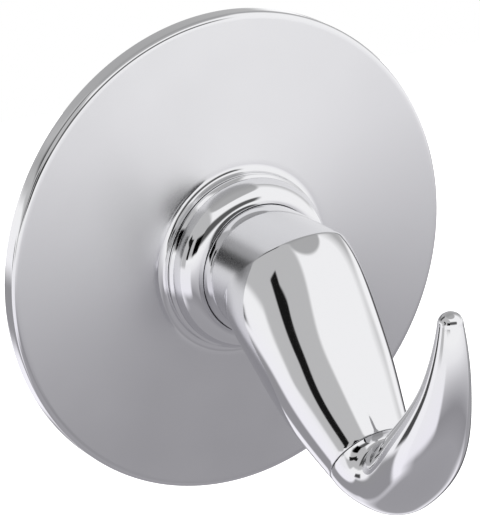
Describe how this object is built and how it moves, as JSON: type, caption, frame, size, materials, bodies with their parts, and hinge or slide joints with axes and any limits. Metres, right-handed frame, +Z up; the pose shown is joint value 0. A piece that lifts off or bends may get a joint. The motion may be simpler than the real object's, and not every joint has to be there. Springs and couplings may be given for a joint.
{
  "type": "shower head wall hook",
  "caption": "Round wall rosette with a domed collar and a drooping arm that ends in an upturned horn, on which a hand shower hangs.",
  "frame": {"origin": "middle of the wall bracket's back face, on the wall plane and on the axis of the rosette", "axes": "+Y into the wall, so the hook stands out along -Y; +Z up; +X to the right seen from the room"},
  "size_m": [0.07, 0.0881, 0.07],
  "materials": {
    "chrome_plate": "polished chrome plate on brass",
    "bracket_steel": "zinc-plated steel",
    "stainless_steel": "plain stainless steel",
    "rubber_seal": "moulded EPDM",
    "nylon": "moulded nylon"
  },
  "bodies": {
    "wall_fixing": {"wall_bracket": "bracket_steel", "wall_screw_upper": "stainless_steel", "wall_screw_lower": "stainless_steel", "wall_plug_upper": "nylon", "wall_plug_lower": "nylon"},
    "hook": {"hook_arm": "chrome_plate", "grub_screw": "stainless_steel", "joining_stud": "stainless_steel", "hook_tip": "chrome_plate"},
    "cover": {"rosette": "chrome_plate", "collar_ring": "chrome_plate", "rosette_o_ring": "rubber_seal", "wall_seal": "rubber_seal"}
  },
  "joints": [
    {"name": "hook_swivel", "type": "hinge", "parent": "wall_fixing", "child": "hook", "pos_m": [0, 0, 0], "axis": [0, -1, 0], "continuous": true},
    {"name": "rosette_slide", "type": "slide", "parent": "hook", "child": "cover", "axis": [0, -1, 0], "range_m": [0, 0.004]}
  ]
}
